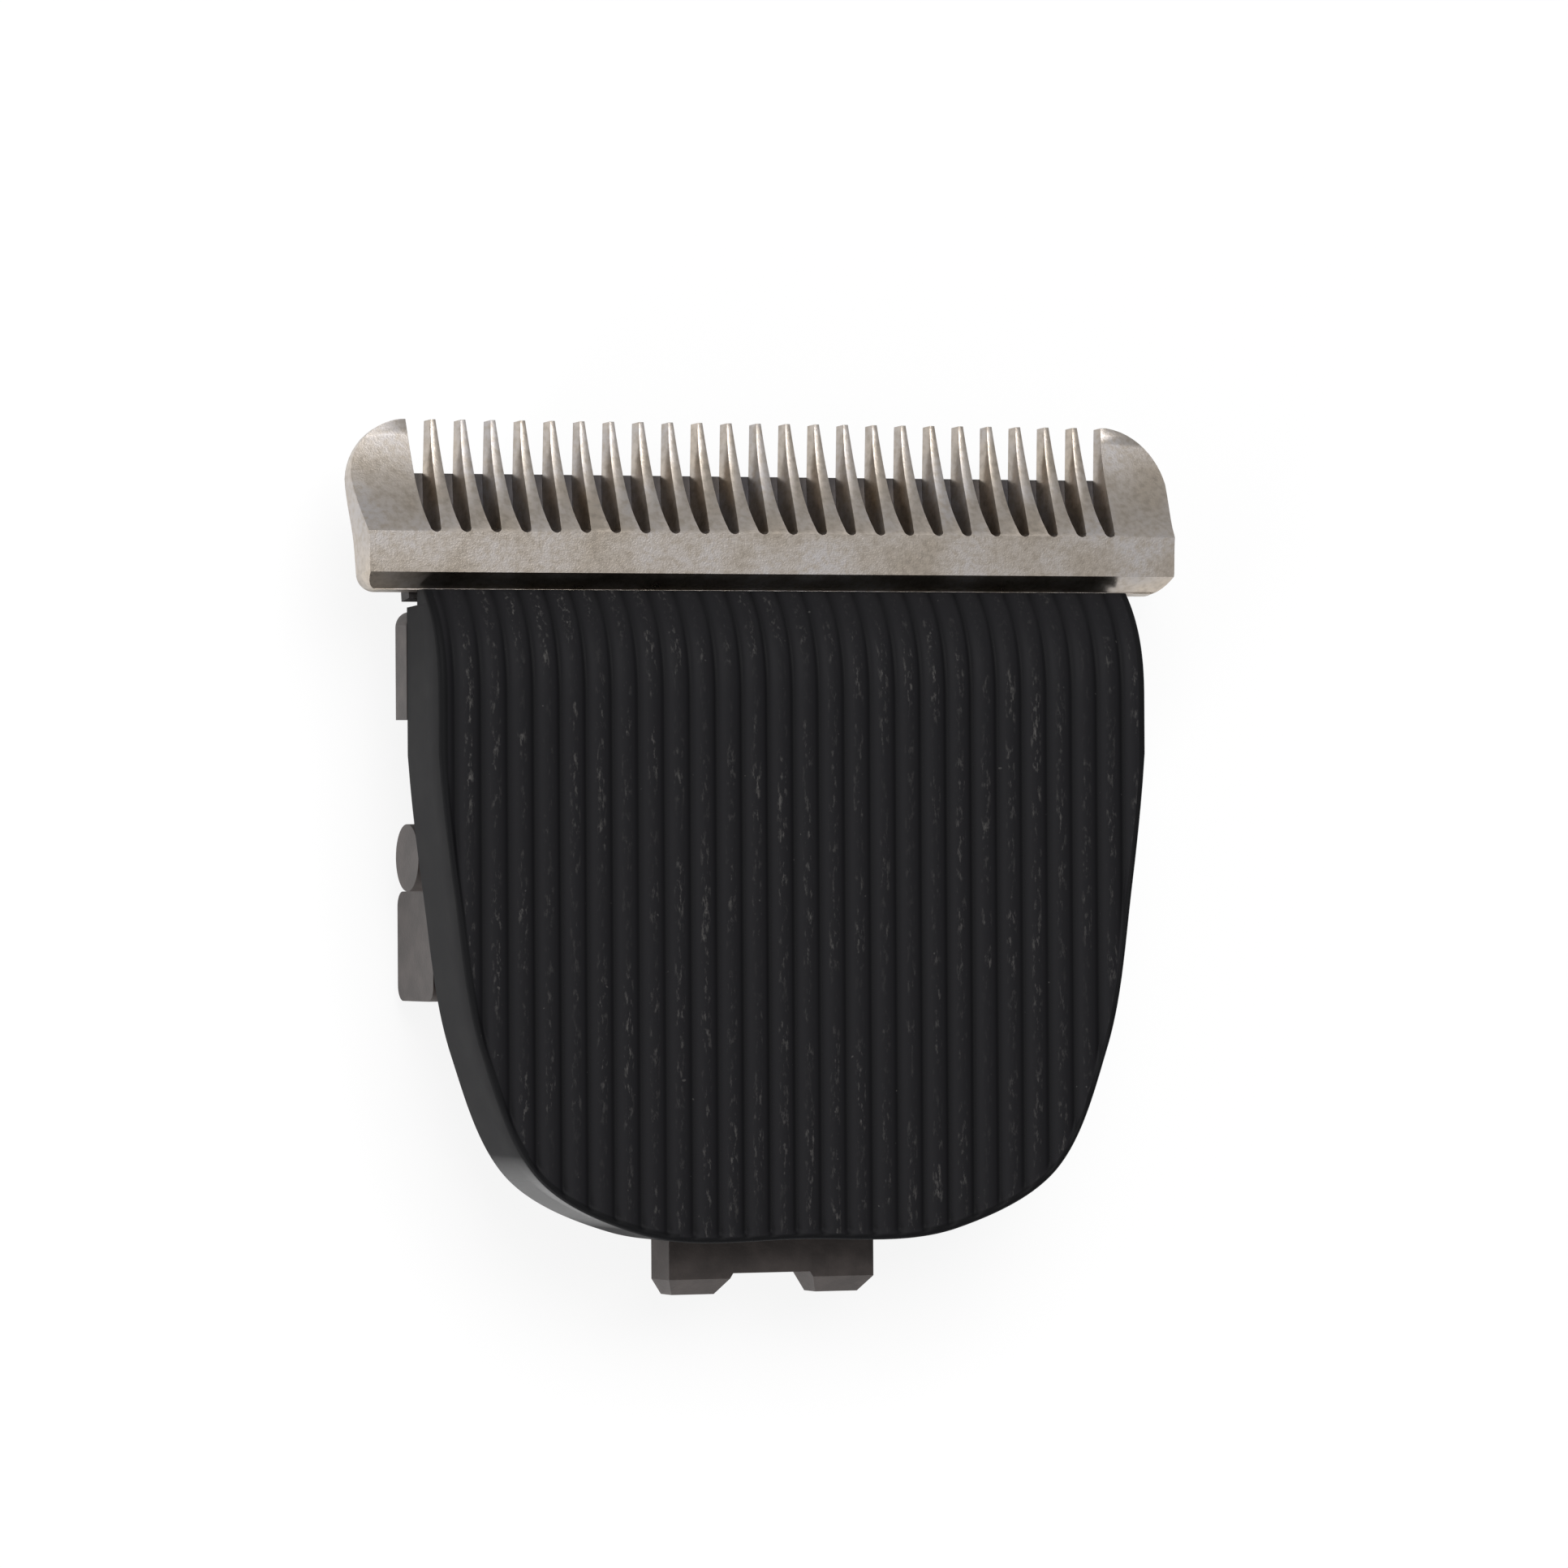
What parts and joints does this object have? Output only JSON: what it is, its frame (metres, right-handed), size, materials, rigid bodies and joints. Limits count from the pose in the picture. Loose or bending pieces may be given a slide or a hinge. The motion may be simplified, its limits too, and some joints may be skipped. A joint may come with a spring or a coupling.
{
  "type": "hair trimmer cutting head",
  "caption": "Detachable T-blade cutting head of a hair trimmer: toothed steel comb, sliding cutter, ribbed cover, rear frame with snap cheeks and hinge tongue.",
  "frame": {"origin": "middle of the whole object's box, on the rear rim that it rests on", "axes": "+X along the blade, +Y from the hinge tongue towards the tooth tips, +Z out of the ribbed cover"},
  "size_m": [0.0392, 0.039, 0.0112],
  "materials": {
    "cover_plastic": "ribbed satin black moulding with smooth glossier sides",
    "frame_plastic": "dull brown-black moulding",
    "comb_steel": "satin ground steel, slightly mottled",
    "cutter_steel": "ground steel",
    "driver_nylon": "natural nylon",
    "fastener_steel": "plain bright steel",
    "spring_steel": "blued spring steel",
    "guide_plastic": "black acetal"
  },
  "bodies": {
    "head": {"front_cover": "cover_plastic", "rear_frame": "frame_plastic", "comb_blade": "comb_steel", "comb_screws": "fastener_steel", "cutter_guides": "guide_plastic", "pressure_spring": "spring_steel", "spring_screw": "fastener_steel"},
    "cutter": {"cutter_blade": "cutter_steel", "cutter_driver": "driver_nylon", "driver_rivets": "fastener_steel"}
  },
  "joints": [
    {"name": "cutter_slide", "type": "slide", "parent": "head", "child": "cutter", "axis": [1, 0, 0], "range_m": [-0.0011, 0.0011]}
  ]
}
